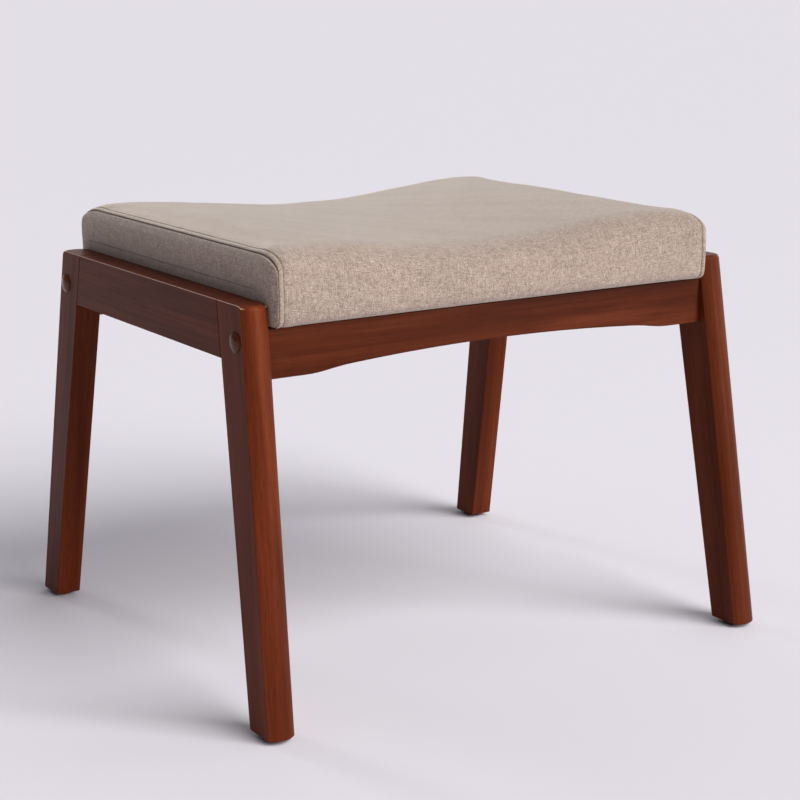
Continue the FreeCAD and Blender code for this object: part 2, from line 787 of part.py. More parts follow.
# Wrap panel: front, top and rear of the cover, with a hem under the board along front and rear
wrap_window = box("wrap_window", ("-seam_half_length - " + POKE, "-" + HEM_Y, CUSHION_LOW + " - " + POKE),
                  ("seam_half_length + " + POKE, HEM_Y, BOARD_LOW))
node("cover_wrap_panel", cut("wrap", outer_middle, [lining, wrap_window, slots]))

# End panels, each with a hem under the board between the wrap panel's hems
end_hem = box("end_hem", (HEM_X, "-%s + hem_gap" % HEM_Y, CUSHION_LOW),
              ("seam_half_length", "%s - hem_gap" % HEM_Y, CUSHION_LOW + " + cover_thickness"))
end_shell = cut("end_shell", outer_right, [lining])
end_panel = fused("end_panel_blank", [end_shell, end_hem])
right_end_panel = cut("end_panel", end_panel, [seat_hole, fore(seat_hole), slots])
node("cover_right_end_panel", right_end_panel)
node("cover_left_end_panel", across(right_end_panel))

# Seat board and foam fill the cover; the dust cover closes it from below
board_slab = box("board_slab", ("-frame_half_length", "-leg_reach_foot", BOARD_LOW + " - " + POKE),
                 ("frame_half_length", "leg_reach_foot", BOARD_TOP))
node("seat_board", cut("board", common("board_blank", filling, board_slab), holes_up))
foam_slab = box("foam_slab", ("-frame_half_length", "-leg_reach_foot", BOARD_TOP),
                ("frame_half_length", "leg_reach_foot", "%s + 2 * shoulder_height" % CUSHION_LOW))
node("seat_foam", common("foam", filling, foam_slab))
dust_sheet = box("dust_sheet", ("-" + DUST_X, "-" + DUST_Y, DUST_LOW),
                 (DUST_X, DUST_Y, DUST_LOW + " + dust_cover_thickness"))
node("dust_cover", cut("dust", dust_sheet, holes_up))

doc.recompute()

faults = []
for item in doc.Objects:
    if "Invalid" in item.State or "Error" in item.State:
        faults.append("%s is %s" % (item.Name, item.State))
for piece in nodes:
    if piece.Shape.isNull() or not piece.Shape.isValid() or not piece.Shape.Solids:
        faults.append("%s has no valid shape" % piece.Label)
if faults:
    raise RuntimeError("; ".join(faults))

os.makedirs("parts", exist_ok=True)
for piece in nodes:
    piece.Shape.exportStep(os.path.join("parts", piece.Label + ".step"))
    print(piece.Label, len(piece.Shape.Solids), "solids", round(piece.Shape.Volume / 1000, 2), "cm3")
print(len(nodes), "nodes")
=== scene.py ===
import math

import bmesh
import bpy
import numpy as np
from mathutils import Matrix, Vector


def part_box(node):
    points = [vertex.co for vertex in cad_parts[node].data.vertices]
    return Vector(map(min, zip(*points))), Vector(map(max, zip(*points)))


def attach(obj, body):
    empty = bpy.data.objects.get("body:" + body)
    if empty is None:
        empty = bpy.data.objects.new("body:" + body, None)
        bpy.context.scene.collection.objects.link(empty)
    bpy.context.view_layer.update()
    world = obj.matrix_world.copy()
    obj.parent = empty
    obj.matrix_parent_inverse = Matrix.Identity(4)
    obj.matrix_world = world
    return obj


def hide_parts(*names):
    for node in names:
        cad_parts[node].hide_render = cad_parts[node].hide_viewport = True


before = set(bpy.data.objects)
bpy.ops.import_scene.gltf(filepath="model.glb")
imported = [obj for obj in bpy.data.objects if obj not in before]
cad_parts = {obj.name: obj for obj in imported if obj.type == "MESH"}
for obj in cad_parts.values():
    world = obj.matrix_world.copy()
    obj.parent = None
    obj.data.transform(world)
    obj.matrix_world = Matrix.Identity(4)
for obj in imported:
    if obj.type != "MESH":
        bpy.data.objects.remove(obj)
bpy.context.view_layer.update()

# Camera: a long lens held a little above the stool, turned so that the front, the left end and the top show.
# The place, the turn and the lens follow the photograph's perspective. The lens is in millimetres, and places
# and sizes are in metres, here and below.
CAMERA_PLACE = (-1.07374, -1.67480, 0.70456)
CAMERA_YAW = 33.0
CAMERA_PITCH = 13.22
LENS = 84.31
SENSOR = 36.0
camera_data = bpy.data.cameras.new("camera")
camera_data.lens = LENS
camera_data.sensor_width = SENSOR
camera = bpy.data.objects.new("camera", camera_data)
camera.location = CAMERA_PLACE
camera.rotation_euler = (math.radians(90 - CAMERA_PITCH), 0, math.radians(-CAMERA_YAW))
bpy.context.collection.objects.link(camera)
bpy.context.scene.camera = camera

# Legs: four splayed boards of close-grained hardwood, tapering a little to the foot, with a bowed outer edge.
# They are stained red-brown and lacquered to a satin gloss. The grain runs down each leg, and no two are
# stained alike. A painted highlight, a pale line in place of glinting light, runs along the upper arrises.
STAIN = ((80, 32, 16), (108, 47, 25), (130, 62, 36))
# A painted highlight: the pale colour laid on the upper arrises in place of light glinting there.
PAINTED_HIGHLIGHT = (235, 200, 184)
LEG_GRAIN = (0.013, 0.068, -0.396)
CORNERS = {"front_left": (-1, -1, 0.92), "front_right": (1, -1, 0.60), "rear_left": (-1, 1, 0.74),
           "rear_right": (1, 1, 0.70)}


def paint(red, green, blue):
    """A colour given as screen values from 0 to 255, as a shader wants it."""
    channels = []
    for number in (red, green, blue):
        share = number / 255
        channels.append(share / 12.92 if share <= 0.04045 else ((share + 0.055) / 1.055) ** 2.4)
    return (*channels, 1.0)


def grey(share):
    """A grey by its share of white, past 1 for brighter."""
    return (share, share, share, 1)


def new_material(name):
    material = bpy.data.materials.new(name)
    material.use_nodes = True
    tree = material.node_tree
    return material, tree, tree.nodes["Principled BSDF"]


def add(tree, kind, **settings):
    """A node, with its settings by attribute name and its inputs by socket name."""
    node = tree.nodes.new(kind)
    for key, setting in settings.items():
        if hasattr(node, key):
            setattr(node, key, setting)
        else:
            node.inputs[key.replace("_", " ")].default_value = setting
    return node


def ramp(tree, source, stops):
    """A colour that goes through the stops, (place, colour), as the source rises."""
    node = tree.nodes.new("ShaderNodeValToRGB")
    elements = node.color_ramp.elements
    while len(elements) < len(stops):
        elements.new(0.5)
    for element, (place, colour) in zip(elements, stops):
        element.position = place
        element.color = colour
    tree.links.new(source, node.inputs["Fac"])
    return node.outputs["Color"]


def mixed(tree, blend, share, first, second):
    """Two colours mixed, each of them given as a colour or a socket."""
    node = tree.nodes.new("ShaderNodeMix")
    node.data_type = "RGBA"
    node.blend_type = blend
    for socket, given in (("Factor", share), ("A", first), ("B", second)):
        inlet = [item for item in node.inputs if item.name == socket and item.enabled][0]
        if isinstance(given, bpy.types.NodeSocket):
            tree.links.new(given, inlet)
        else:
            inlet.default_value = given
    return [item for item in node.outputs if item.enabled][0]


def maths(tree, kind, *given):
    """A sum of one to three numbers or sockets."""
    node = add(tree, "ShaderNodeMath", operation=kind)
    for inlet, item in zip(node.inputs, given):
        if isinstance(item, bpy.types.NodeSocket):
            tree.links.new(item, inlet)
        else:
            inlet.default_value = item
    return node.outputs["Value"]


def relief(tree, shader, height, strength, depth):
    """Fine ups and downs in a surface."""
    bump = add(tree, "ShaderNodeBump", Strength=strength, Distance=depth)
    tree.links.new(height, bump.inputs["Height"])
    tree.links.new(bump.outputs["Normal"], shader.inputs["Normal"])


def with_painted_highlight(tree, colour, share):
    """The colour with a painted highlight where a face looks up and to a side, as on a rounded upper arris.
    """
    facing = add(tree, "ShaderNodeNewGeometry")
    split = add(tree, "ShaderNodeSeparateXYZ")
    tree.links.new(facing.outputs["Normal"], split.inputs["Vector"])
    both = maths(tree, "MINIMUM", split.outputs["Z"], maths(tree, "ABSOLUTE", split.outputs["X"]))
    edge = add(tree, "ShaderNodeMapRange", From_Min=0.42, From_Max=0.60, To_Max=share)
    edge.interpolation_type = "SMOOTHSTEP"
    tree.links.new(both, edge.inputs["Value"])
    return mixed(tree, "MIX", edge.outputs["Result"], colour, paint(*PAINTED_HIGHLIGHT))


def timber(name, along, shift, tones, gloss=0.34, shine=0.065, pore_depth=0.00004, highlight_share=0.0):
    """Hardwood whose grain follows a direction: a broad figure, fine growth lines and short open pores.
    A painted highlight lightens the upper arrises by the share given last."""
    dark, middle, light = tones
    material, tree, shader = new_material(name)
    coords = add(tree, "ShaderNodeTexCoord")
    turn = add(tree, "ShaderNodeMapping")
    to_grain = Vector(along).rotation_difference(Vector((1, 0, 0)))
    turn.inputs["Rotation"].default_value = to_grain.to_euler()
    turn.inputs["Location"].default_value = shift
    tree.links.new(coords.outputs["Object"], turn.inputs["Vector"])

    def streaks(along_scale, across_scale, detail, roughness=0.5, distortion=0.0):
        """Streaks that follow the grain, so many a metre along it and across it."""
        squeeze = add(tree, "ShaderNodeMapping")
        squeeze.inputs["Scale"].default_value = (along_scale, across_scale, across_scale)
        tree.links.new(turn.outputs["Vector"], squeeze.inputs["Vector"])
        node = add(tree, "ShaderNodeTexNoise", Scale=1.0, Detail=detail, Roughness=roughness,
                   Distortion=distortion)
        tree.links.new(squeeze.outputs["Vector"], node.inputs["Vector"])
        return node.outputs["Fac"]

    figure = streaks(2.2, 26.0, detail=3.0, roughness=0.55, distortion=0.6)
    lines = streaks(5.0, 300.0, detail=3.0, roughness=0.6)
    pores = streaks(70.0, 1500.0, detail=1.0)
    body_colour = ramp(tree, figure, [(0.30, dark), (0.52, middle), (0.72, light)])
    line_colour = ramp(tree, lines, [(0.32, grey(0.62)), (0.60, grey(1.08))])
    pore_colour = ramp(tree, pores, [(0.30, (0.55, 0.52, 0.50, 1)), (0.40, grey(1))])
    colour = mixed(tree, "MULTIPLY", 0.55, body_colour, line_colour)
    colour = mixed(tree, "MULTIPLY", 0.65, colour, pore_colour)
    # A painted highlight on the upper arrises, in place of light glinting there.
    if highlight_share:
        colour = with_painted_highlight(tree, colour, highlight_share)
    tree.links.new(colour, shader.inputs["Base Color"])
    sheen_map = add(tree, "ShaderNodeMapRange", From_Min=0.3, From_Max=0.7, To_Min=gloss + 0.05,
                    To_Max=gloss - 0.04)
    tree.links.new(lines, sheen_map.inputs["Value"])
    tree.links.new(sheen_map.outputs["Result"], shader.inputs["Roughness"])
    shader.inputs["Specular IOR Level"].default_value = shine
    shader.inputs["Specular Tint"].default_value = (1.0, 0.78, 0.60, 1)
    relief(tree, shader, pores, 0.5, pore_depth)
    return material


def dress(node_name, material):
    """Gives a piece of the frame its finish."""
    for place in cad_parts[node_name].material_slots:
        place.material = material


def stain(tone):
    """The stain's dark, middle and light, deeper or paler from board to board."""
    return [tuple(tone * channel for channel in paint(*shade)[:3]) + (1.0,) for shade in STAIN]


for number, (corner, (side, end, tone)) in enumerate(CORNERS.items()):
    grain = (side * LEG_GRAIN[0], end * LEG_GRAIN[1], LEG_GRAIN[2])
    cut_from = (0.37 * number, 0.11 * number, 0.05)
    dress(corner + "_leg", timber("stained_" + corner + "_leg", grain, cut_from, stain(tone), highlight_share=0.8))

# End rails: one board of the same stained wood between the two legs of each end, flush with their faces.
# Two glued dowels hold it to each leg, and its upper arris has a painted highlight.
for number, piece in enumerate(("left_end_rail", "right_end_rail")):
    cut_from = (0.2 + 0.3 * number, 0.4, 0.1)
    dress(piece, timber("stained_" + piece, (0, 1, 0), cut_from, stain(0.71), highlight_share=0.9))

# Aprons: arched boards of the same stained wood under the long sides of the seat. A bolt and a dowel in each
# end hold them between the legs.
for number, piece in enumerate(("front_apron", "rear_apron")):
    cut_from = (0.1, 0.25 * number, 0.3)
    dress(piece, timber("stained_" + piece, (1, 0, 0), cut_from, stain(0.56)))

# Button plugs: domed caps of the same wood, turned and lacquered to a brighter gloss. They are pressed into
# the outer faces of the legs and hide the heads of the apron bolts.
plug_finish = timber("stained_plugs", (0, 1, 0), (0.6, 0.2, 0.4), stain(0.60), gloss=0.20, shine=0.28)
for corner in CORNERS:
    dress(corner + "_plug", plug_finish)


# Bolts, washers, screws and nails: zinc-plated steel, hidden in the joints and under the seat. The threaded
# inserts in the aprons' ends are turned brass, and the dust cover's staples are galvanised wire.
def metal(name, colour, rough):
    """Plated or turned metal with faint clouds in its colour and its gloss."""
    material, tree, shader = new_material(name)
    coords = add(tree, "ShaderNodeTexCoord")
    cloud = add(tree, "ShaderNodeTexNoise", Scale=900.0, Detail=3.0)
    tree.links.new(coords.outputs["Object"], cloud.inputs["Vector"])
    dulled = tuple(0.8 * channel for channel in colour[:3]) + (1,)
    tone = ramp(tree, cloud.outputs["Fac"], [(0.3, dulled), (0.7, colour)])
    tree.links.new(tone, shader.inputs["Base Color"])
    spread = add(tree, "ShaderNodeMapRange", To_Min=rough - 0.06, To_Max=rough + 0.08)
    tree.links.new(cloud.outputs["Fac"], spread.inputs["Value"])
    tree.links.new(spread.outputs["Result"], shader.inputs["Roughness"])
    shader.inputs["Metallic"].default_value = 1.0
    return material


zinc = metal("zinc_plate", paint(196, 198, 202), 0.34)
for piece in ("apron_bolts", "bolt_washers", "corner_block_screws", "seat_screws", "glide_nails"):
    dress(piece, zinc)
dress("threaded_inserts", metal("turned_brass", paint(200, 166, 96), 0.3))
dress("staples", metal("galvanised_wire", paint(176, 178, 182), 0.4))

# Dowels and corner blocks: bare beech dowels, glued into the joints, and L-shaped blocks of bare sawn
# hardwood, screwed into the corners behind the aprons.
BARE = (paint(168, 128, 88), paint(192, 154, 110), paint(206, 172, 130))
BARE_SHINE = 0.3
BARE_PORES = 0.00012
bare_wood = timber("bare_hardwood", (1, 0, 0), (0.3, 0.7, 0.2), BARE, gloss=0.7, shine=BARE_SHINE,
                   pore_depth=BARE_PORES)
for piece in ["apron_dowels", "rail_dowels"] + [corner + "_corner_block" for corner in CORNERS]:
    dress(piece, bare_wood)


# Glides: round feet of black nylon under the legs, scuffed dull. A nail through its recess holds each of
# them to its leg.
def speckled(name, stops, specks_per_metre, detail, roughness, strength, depth):
    """A dull finish with fine specks in its colour and its relief."""
    material, tree, shader = new_material(name)
    coords = add(tree, "ShaderNodeTexCoord")
    specks = add(tree, "ShaderNodeTexNoise", Scale=specks_per_metre, Detail=detail)
    tree.links.new(coords.outputs["Object"], specks.inputs["Vector"])
    tree.links.new(ramp(tree, specks.outputs["Fac"], stops), shader.inputs["Base Color"])
    shader.inputs["Roughness"].default_value = roughness
    relief(tree, shader, specks.outputs["Fac"], strength, depth)
    return material


NYLON = [(0.35, paint(16, 16, 18)), (0.75, paint(34, 33, 35))]
glide_finish = speckled("black_nylon", NYLON, specks_per_metre=1400.0, detail=4.0, roughness=0.5,
                        strength=0.4, depth=0.00005)
for corner in CORNERS:
    dress(corner + "_glide", glide_finish)

# Seat board: a bare plywood board, 12 mm thick, screwed down on the corner blocks. It carries the foam, and
# the dust cover and the cover's hems hide it from below.
board_finish = timber("plywood", (1, 0, 0), (0.9, 0.2, 0.6), BARE, gloss=0.75, shine=BARE_SHINE,
                      pore_depth=BARE_PORES)
dress("seat_board", board_finish)

# Cushion cover: a heathered beige weave sewn over foam. One wrap panel runs from the front over the top to
# the rear, and a panel closes each end. The outline across the seat is a rounded rectangle, saddled along
# the seat, whose sides draw in and whose top corners round off away from the seams.
SEAM_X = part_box("cover_wrap_panel")[1][0]
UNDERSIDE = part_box("cover_wrap_panel")[0][2]
FRONT_DEPTH = 0.2150
REAR_DEPTH = 0.2205
SIDE_DRAW = 0.0025
SIDE_BOW = 0.0009
SEAM_TOP = 0.0658
SHOULDER_TOP = 0.0722
SADDLE_TOP = 0.0581
SADDLE_FLAT = 0.0175
SADDLE_END = 0.221
SHOULDER_ROLL = 0.0090
LOPSIDED = 0.0009
CROWN = 0.0038
CROWN_RUN = 0.045
FRONT_CORNER = (0.036, 0.0155)
REAR_CORNER = (0.045, 0.0200)
MIDDLE_CORNER = (0.0480, 0.0300)
CORNER_RUN = 0.075
LOW_CORNER = 0.009
HEM = 0.049


def smooth_step(share):
    """From 0 to 1, level at both ends."""
    share = np.clip(share, 0.0, 1.0)
    return share * share * (3 - 2 * share)


def saddle_top(along):
    """Height of the top's long edges above the underside, at places along the seat."""
    rise = smooth_step((np.abs(along) - SADDLE_FLAT) / (SADDLE_END - SADDLE_FLAT))
    top = SADDLE_TOP + (SHOULDER_TOP - SADDLE_TOP) * rise
    return top - (SHOULDER_TOP - SEAM_TOP) * np.exp((np.abs(along) - SEAM_X) / SHOULDER_ROLL)


def arc_points(centre, radii, start, sweep, count):
    """Points along an arc of an ellipse, after the one that it starts from."""
    angles = np.radians(start + sweep * np.arange(1, count + 1) / count)
    return np.stack([centre[0] + radii[0] * np.cos(angles), centre[1] + radii[1] * np.sin(angles)],
                    axis=1)


def half_section(half, top, crown, corner, rows):
    """(y, z) points from the hem under the rear edge up over to the middle of the top."""
    hem, low, side, high, over = rows
    deep, tall = corner
    under = np.stack([np.linspace(half - HEM, half - LOW_CORNER, hem + 1), np.zeros(hem + 1)], axis=1)
    foot = arc_points((half - LOW_CORNER, LOW_CORNER), (LOW_CORNER, LOW_CORNER), -90, 90, low)
    rise = np.linspace(LOW_CORNER, top - tall, side + 1)[1:]
    share = (rise - LOW_CORNER) / (top - tall - LOW_CORNER)
    wall = np.stack([half + SIDE_BOW * 4 * share * (1 - share), rise], axis=1)
    shoulder = arc_points((half - deep, top - tall), corner, 0, 90, high)
    run = np.linspace(half - deep, 0.0, over + 1)[1:]
    flat = np.stack([run, top + crown * (1 - (run / (half - deep)) ** 2)], axis=1)
    return np.concatenate([under, foot, wall, shoulder, flat])


def section(along, rows):
    """The whole outline at a place along the seat, from the front hem over to the rear hem."""
    draw = SIDE_DRAW * (1 - (along / SEAM_X) ** 2)
    blend = float(smooth_step((SEAM_X - abs(along)) / CORNER_RUN))
    crown = CROWN * float(smooth_step((SEAM_X - abs(along)) / CROWN_RUN))
    sides = []
    for half, seam_corner in ((FRONT_DEPTH, FRONT_CORNER), (REAR_DEPTH, REAR_CORNER)):
        corner = [seam + (middle - seam) * blend for seam, middle in zip(seam_corner, MIDDLE_CORNER)]
        top = float(saddle_top(along)) + LOPSIDED * along / SEAM_X * blend
        sides.append(half_section(half - draw, top, crown, corner, rows))
    outline = np.concatenate([sides[0] * (-1, 1), sides[1][::-1][1:]])
    return outline + (0, UNDERSIDE)


def row_marks(rows):
    """A running number for each point of an outline, the same place for any count of rows."""
    parts = [step + np.arange(1, count + 1) / count for step, count in enumerate(rows)]
    half = np.concatenate([[0.0]] + parts)
    return np.concatenate([half, 2 * len(rows) - half[::-1][1:]])


def wrap_points(stations, rows):
    """The outlines at all the stations along the seat, as a grid of points."""
    points = []
    for along in stations:
        outline = section(along, rows)
        points.append(np.column_stack([np.full(len(outline), along), outline]))
    return np.array(points)


def grid_mesh(name, points, uv, closed=False):
    """A mesh of quads on a grid of points, with its own cloth coordinates in metres."""
    rows, columns = points.shape[:2]
    faces = []
    for row in range(rows - 1):
        for column in range(columns - (0 if closed else 1)):
            after = (column + 1) % columns
            faces.append((row * columns + column, (row + 1) * columns + column,
                          (row + 1) * columns + after, row * columns + after))
    mesh = bpy.data.meshes.new(name)
    mesh.from_pydata(points.reshape(-1, 3).tolist(), [], faces)
    layer = mesh.uv_layers.new(name="cloth")
    corners = np.empty(len(mesh.loops), dtype=np.int32)
    mesh.loops.foreach_get("vertex_index", corners)
    layer.data.foreach_set("uv", uv.reshape(-1, 2)[corners].ravel())
    mesh.polygons.foreach_set("use_smooth", [True] * len(mesh.polygons))
    mesh.update()
    return mesh


def link(name, mesh):
    thing = bpy.data.objects.new(name, mesh)
    bpy.context.collection.objects.link(thing)
    return thing


def grid_normals(points):
    """Unit normals of a grid of points, outwards for the way that the wrap panel runs."""
    normal = np.cross(np.gradient(points, axis=0), np.gradient(points, axis=1))
    return normal / np.maximum(np.linalg.norm(normal, axis=2, keepdims=True), 1e-12)


# The cloth is first let swell over the foam on a coarse grid, held at its seams and near the underside. It
# starts a little too small, and where it swells to is then carried over to the fine grid.
COARSE_ROWS = (2, 2, 4, 4, 14)
COARSE_STATIONS = 61
SWELL_ALLOWED = 0.0014
START_SHARE = 0.85
HELD_RUN = 0.03
HELD_HEIGHT = 0.015
HELD_BLEND = 0.014
HELD_SLACK = 0.02
SETTLE_FRAMES = 20
coarse_stations = np.linspace(-SEAM_X, SEAM_X, COARSE_STATIONS)
coarse = wrap_points(coarse_stations, COARSE_ROWS)
from_seam = np.clip((SEAM_X - np.abs(coarse_stations)) / HELD_RUN, 0, 1)[:, None]
held_rows = np.clip((coarse[:, :, 2] - UNDERSIDE - HELD_HEIGHT) / HELD_BLEND, 0, 1)
slack = (smooth_step(from_seam) * smooth_step(held_rows))[:, :, None]
shrunk = coarse - grid_normals(coarse) * slack * SWELL_ALLOWED * START_SHARE
trial = link("trial", grid_mesh("trial", shrunk, shrunk[:, :, :2]))
group = trial.vertex_groups.new(name="held")
held = np.flatnonzero(slack.ravel() < HELD_SLACK)
group.add(held.tolist(), 1.0, "REPLACE")
cloth = trial.modifiers.new("cloth", "CLOTH")
cloth.settings.quality = 8
cloth.settings.mass = 0.3
cloth.settings.tension_stiffness = 40
cloth.settings.compression_stiffness = 40
cloth.settings.shear_stiffness = 20
cloth.settings.bending_stiffness = 3
cloth.settings.use_pressure = True
cloth.settings.uniform_pressure_force = 4.0
cloth.settings.vertex_group_mass = "held"
cloth.settings.effector_weights.gravity = 0.0
cloth.point_cache.frame_start = 1
cloth.point_cache.frame_end = SETTLE_FRAMES
for step in range(1, SETTLE_FRAMES + 1):
    bpy.context.scene.frame_set(step)
settled = trial.evaluated_get(bpy.context.evaluated_depsgraph_get())
places = np.empty(len(settled.data.vertices) * 3)
settled.data.vertices.foreach_get("co", places)
swell = places.reshape(coarse.shape) - shrunk
size = np.linalg.norm(swell, axis=2, keepdims=True)
swell *= np.minimum(1.0, SWELL_ALLOWED / np.maximum(size, 1e-9))
bpy.data.objects.remove(trial)
bpy.context.scene.frame_set(1)
change = (shrunk + swell) - coarse

# The wrap panel itself, on a fine grid that is closest beside the seams. There the cloth turns down into the
# seam, stands up in a welt, dips under the topstitching and puffs up once more. Each of these is given by
# its height, its distance from the seam and its width.
SECTION_ROWS = (5, 6, 9, 10, 36)
NEAR_SEAM = np.array([0, .3, .6, .9, 1.2, 1.6, 2.1, 2.8, 3.6, 4.4, 5.0, 5.4, 5.7, 6.0, 6.3, 6.6, 7.1, 7.8,
                      8.8, 10.2, 12.2, 15, 18.5]) / 1000
MIDDLE_MARGIN = 0.023
MIDDLE_STATIONS = 77
SEAM_DIP = 0.0011
SEAM_WIDTH = 0.0007
WELT = (0.00045, 0.0031, 0.0016)
TOPSTITCH = 0.006
TOPSTITCH_DIP = (0.0010, TOPSTITCH, 0.0007)
PUFF = (0.0004, 0.014, 0.006)
RIPPLE = 0.0003
RIPPLE_RUN = 0.04
RIPPLE_START = 0.014
RIPPLE_BLEND = 0.02
TURNED_UNDER = 0.003


def ridge(distance, height, place, width):
    """The height of a rounded ridge along the seam, at a distance from the seam."""
    return height * np.exp(-((distance - place) / width) ** 2)


def ripples(points):
    """Slow uneven waves over the cushion, between -1.6 and 1.6."""
    x, y, z = points[:, :, 0], points[:, :, 1], points[:, :, 2]
    return (np.sin(x * 61 + 1.3) * np.sin(y * 47 + 0.4)
            + 0.6 * np.sin(x * 113 - 2.0) * np.cos(y * 97 + z * 80))


middle = np.linspace(-(SEAM_X - MIDDLE_MARGIN), SEAM_X - MIDDLE_MARGIN, MIDDLE_STATIONS)
stations = np.concatenate([-(SEAM_X - NEAR_SEAM), middle, (SEAM_X - NEAR_SEAM)[::-1]])
wrap = wrap_points(stations, SECTION_ROWS)
coarse_marks = row_marks(COARSE_ROWS)
fine_marks = row_marks(SECTION_ROWS)
for axis in range(3):
    across = np.array([np.interp(fine_marks, coarse_marks, row) for row in change[:, :, axis]])
    wrap[:, :, axis] += np.array([np.interp(stations, coarse_stations, column) for column in across.T]).T
distance = SEAM_X - np.abs(stations)
turned_in = np.exp(-(distance / SEAM_WIDTH) ** 2)
stand = (ridge(distance, *WELT) - ridge(distance, *TOPSTITCH_DIP) + ridge(distance, *PUFF)
         - SEAM_DIP * turned_in)
above_hem = np.clip((wrap[:, :, 2] - UNDERSIDE - RIPPLE_START) / RIPPLE_BLEND, 0, 1)
lively = (smooth_step(distance / RIPPLE_RUN)[:, None] * above_hem) * ripples(wrap)
wrap_normals = grid_normals(wrap)
wrap = wrap + wrap_normals * (stand[:, None] + RIPPLE * lively)[:, :, None]
wrap[:, :, 0] -= (np.sign(stations) * SEAM_DIP * turned_in)[:, None]
arc = np.cumsum(np.linalg.norm(np.diff(wrap, axis=1, prepend=wrap[:, :1]), axis=2), axis=1)
arc = arc - arc[:, arc.shape[1] // 2][:, None]
wrap_uv = np.stack([np.broadcast_to(stations[:, None], arc.shape), arc], axis=2)
tucks = []
for row, way in ((0, 1), (-1, -1)):
    inner = wrap[row] - wrap_normals[row] * TURNED_UNDER
    inner[:, 0] += way * TURNED_UNDER
    tucks.append(inner[None])
stitch_row = list(NEAR_SEAM).index(TOPSTITCH)
stitch_rows = (wrap[stitch_row], wrap[-1 - stitch_row])
wrap = np.concatenate([tucks[0], wrap, tucks[1]])
wrap_uv = np.concatenate([wrap_uv[:1], wrap_uv, wrap_uv[-1:]])
wrap_cover = link("wrap_cover", grid_mesh("wrap_cover", wrap, wrap_uv))

# End panels: rings of the same cloth from the seam in to the panel's long middle line. A step lifts them
# clear of the board's edge, and the face bulges outwards above it. They stay nearly flat where the legs and
# rails stand close.
END_STEP = 0.0030
END_STEP_RUN = 0.012
END_FACE = 0.0033
END_RUN = 0.042
FACE_HEIGHTS = [0.0, 0.33, 0.45, 0.58, 0.72, 0.86, 0.95, 1.0]
FACE_SHARES = [0.0, 0.0, 0.60, 1.0, 0.95, 0.62, 0.27, 0.0]
STEP_HEIGHTS = [0.0, 0.04, 0.74, 0.88, 0.96, 1.0]
STEP_SHARES = [0.80, 1.0, 1.0, 0.70, 0.30, 0.0]
SEAM_HOLD = 0.0010
RINGS = np.concatenate([NEAR_SEAM[NEAR_SEAM < 0.0125], [0.016, 0.021, 0.027, 0.0327]])
UNDER_EDGE_POINTS = 60
PANEL_MIDDLE = SEAM_TOP / 2
MERGED = 0.00002


def end_panel(side):
    """The panel of the left end for a side of -1, and of the right end for 1."""
    outline = section(SEAM_X, SECTION_ROWS)
    closing = np.linspace(outline[-1], outline[0], UNDER_EDGE_POINTS)[1:-1]
    outline = np.concatenate([outline, closing])
    spine = np.column_stack([np.clip(outline[:, 0], PANEL_MIDDLE - FRONT_DEPTH, REAR_DEPTH - PANEL_MIDDLE),
                             np.full(len(outline), UNDERSIDE + PANEL_MIDDLE)])
    inward = spine - outline
    unit = inward / np.maximum(np.linalg.norm(inward, axis=1, keepdims=True), 1e-9)
    rings = []
    for distance in RINGS:
        roll = math.exp(-(distance / SEAM_WIDTH) ** 2)
        step = outline + inward * min(distance / PANEL_MIDDLE, 1.0) + unit * SEAM_DIP * roll
        height = (step[:, 1] - UNDERSIDE) / SEAM_TOP
        edge_gap = np.minimum(step[:, 0] + FRONT_DEPTH + SIDE_BOW, REAR_DEPTH + SIDE_BOW - step[:, 0])
        from_end = np.clip(edge_gap / END_RUN, 0, 1)
        step_share = np.interp(height, STEP_HEIGHTS, STEP_SHARES)
        step_out = END_STEP * step_share * smooth_step(edge_gap / END_STEP_RUN)
        face_share = np.interp(height, FACE_HEIGHTS, FACE_SHARES)
        face_out = END_FACE * face_share * (1 - (1 - from_end) ** 2)
        bulge = (step_out + face_out) * (1 - math.exp(-distance / SEAM_HOLD))
        rings.append(np.column_stack([side * (SEAM_X + bulge - SEAM_DIP * roll), step]))
    rings = np.array(rings)
    first = rings[0].copy()
    first[:, 0] -= side * TURNED_UNDER
    first[:, 1:] += unit * TURNED_UNDER
    rings = np.concatenate([first[None], rings])
    name = "right_end_cover" if side > 0 else "left_end_cover"
    panel = link(name, grid_mesh(name, rings, rings[:, :, 1:], closed=True))
    work = bmesh.new()
    work.from_mesh(panel.data)
    bmesh.ops.remove_doubles(work, verts=work.verts, dist=MERGED)
    bmesh.ops.recalc_face_normals(work, faces=work.faces)
    if sum(face.normal.x * face.calc_area() for face in work.faces) * side < 0:
        bmesh.ops.reverse_faces(work, faces=work.faces)
    work.to_mesh(panel.data)
    work.free()
    return panel


left_cover = end_panel(-1)
right_cover = end_panel(1)

# The cover's cloth: a plain weave, 1.15 mm a yarn. The yarn is heathered: five close beiges that change
# every few crossings along it, with a fleck of their own at each crossing.
YARN = 0.00115
HEATHER = 0.22
BEIGES = [(0.12, paint(130, 113, 103)), (0.34, paint(148, 130, 119)), (0.55, paint(161, 143, 131)),
          (0.78, paint(173, 155, 143)), (0.95, paint(186, 170, 159))]


def either(tree, share, first, second):
    """One number or the other."""
    node = add(tree, "ShaderNodeMix")
    tree.links.new(share, node.inputs[0])
    tree.links.new(first, node.inputs[2])
    tree.links.new(second, node.inputs[3])
    return node.outputs[0]


